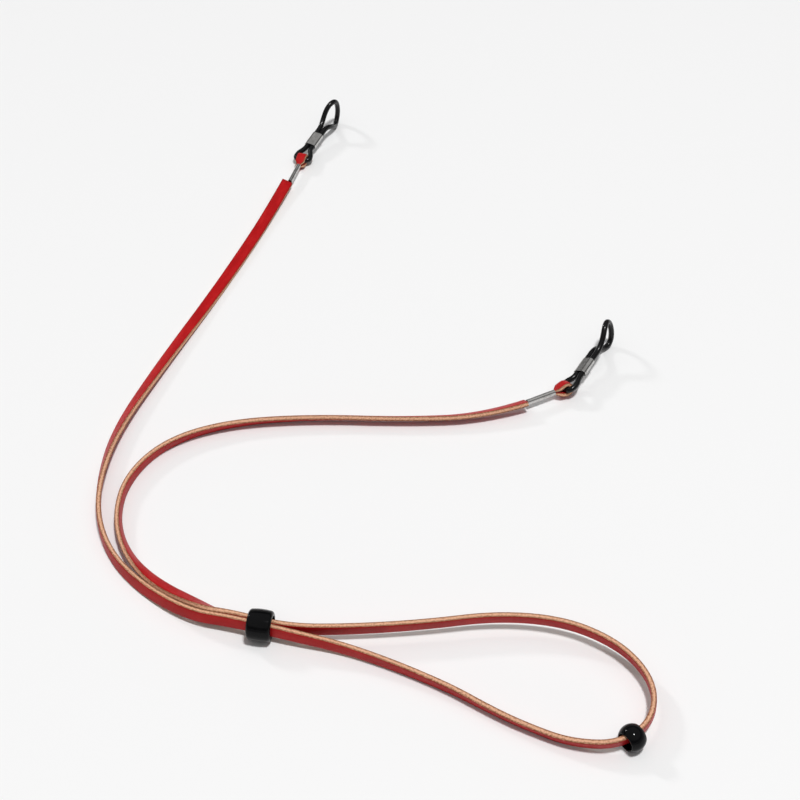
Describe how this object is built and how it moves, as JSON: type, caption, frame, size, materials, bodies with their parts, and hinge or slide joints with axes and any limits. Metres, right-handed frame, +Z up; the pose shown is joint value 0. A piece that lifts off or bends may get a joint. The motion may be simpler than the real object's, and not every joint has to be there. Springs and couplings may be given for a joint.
{
  "type": "eyeglass retainer strap",
  "caption": "Flat leather neck lace for glasses, laid out in a loop, with a sliding bead, an end bead and a rubber temple loop with a metal cinch tube at each end.",
  "frame": {"origin": "on the table, at the middle of the box round the hardware (beads, ferrules, cinch tubes and rubber loops)", "axes": "+Z up from the table the strap lies on; +Y from the end bead towards the left temple loop; +X towards the right temple loop"},
  "size_m": [0.1627, 0.2844, 0.0119],
  "materials": {
    "red_leather": "smooth finished faces, raw tan edges",
    "silver_metal": "bright nickel plate",
    "black_rubber": "satin",
    "black_bead": "high gloss"
  },
  "bodies": {
    "strap": {"lace_left_end": "red_leather", "lace_left_arm": "red_leather", "lace_loop": "red_leather", "lace_right_arm": "red_leather", "lace_right_end": "red_leather", "left_end_fold": "red_leather", "right_end_fold": "red_leather", "left_ferrule": "silver_metal", "right_ferrule": "silver_metal"},
    "slider": {"slider_bead": "black_bead"},
    "loop_bead": {"end_bead": "black_bead"},
    "left_connector": {"left_rubber_loop": "black_rubber"},
    "left_cinch": {"left_cinch_tube": "silver_metal"},
    "right_connector": {"right_rubber_loop": "black_rubber"},
    "right_cinch": {"right_cinch_tube": "silver_metal"}
  },
  "joints": [
    {"name": "slider_slide", "type": "slide", "parent": "strap", "child": "slider", "axis": [0.96, -0.28, 0], "range_m": [-0.006, 0.001]},
    {"name": "end_bead_travel", "type": "hinge", "parent": "strap", "child": "loop_bead", "pos_m": [0.03897, -0.12744, 0.00385], "axis": [0, 0, 1], "range_deg": [-6, 6]},
    {"name": "left_connector_swing", "type": "hinge", "parent": "strap", "child": "left_connector", "pos_m": [-0.05004, 0.11416, 0.0024], "axis": [-0.9608, 0.2773, 0], "range_deg": [-105, 105]},
    {"name": "left_cinch_slide", "type": "slide", "parent": "left_connector", "child": "left_cinch", "axis": [0.4374, 0.8893, 0.1337], "range_m": [0, 0.0028]},
    {"name": "right_connector_swing", "type": "hinge", "parent": "strap", "child": "right_connector", "pos_m": [0.03859, -0.00619, 0.0029], "axis": [-0.4209, 0.8261, -0.3746], "range_deg": [-105, 105]},
    {"name": "right_cinch_slide", "type": "slide", "parent": "right_connector", "child": "right_cinch", "axis": [0.5151, 0.8525, 0.0893], "range_m": [0, 0.0028]}
  ]
}
